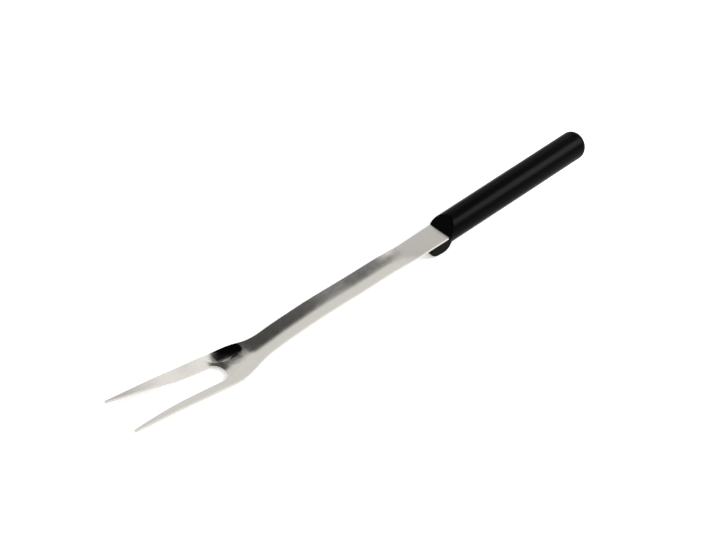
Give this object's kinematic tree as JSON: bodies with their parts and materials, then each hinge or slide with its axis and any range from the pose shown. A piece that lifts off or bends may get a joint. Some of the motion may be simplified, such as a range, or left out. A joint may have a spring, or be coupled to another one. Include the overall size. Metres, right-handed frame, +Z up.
{
  "type": "flesh fork",
  "caption": "Long flesh fork: a pressed steel trough widening into a slotted head with tapering tines, in a moulded round handle with a hook under its front.",
  "frame": {"origin": "under the middle of the fork's length, on the surface it rests on", "axes": "+X towards the handle's rear end, +Z up in the resting pose, +Y across, so that the tines point to -X"},
  "size_m": [0.5096, 0.0376, 0.0512],
  "materials": {
    "steel": "satin, brushed along the length",
    "plastic": "satin, moulded"
  },
  "bodies": {
    "root": {"blade": "steel", "handle": "plastic"}
  },
  "joints": []
}
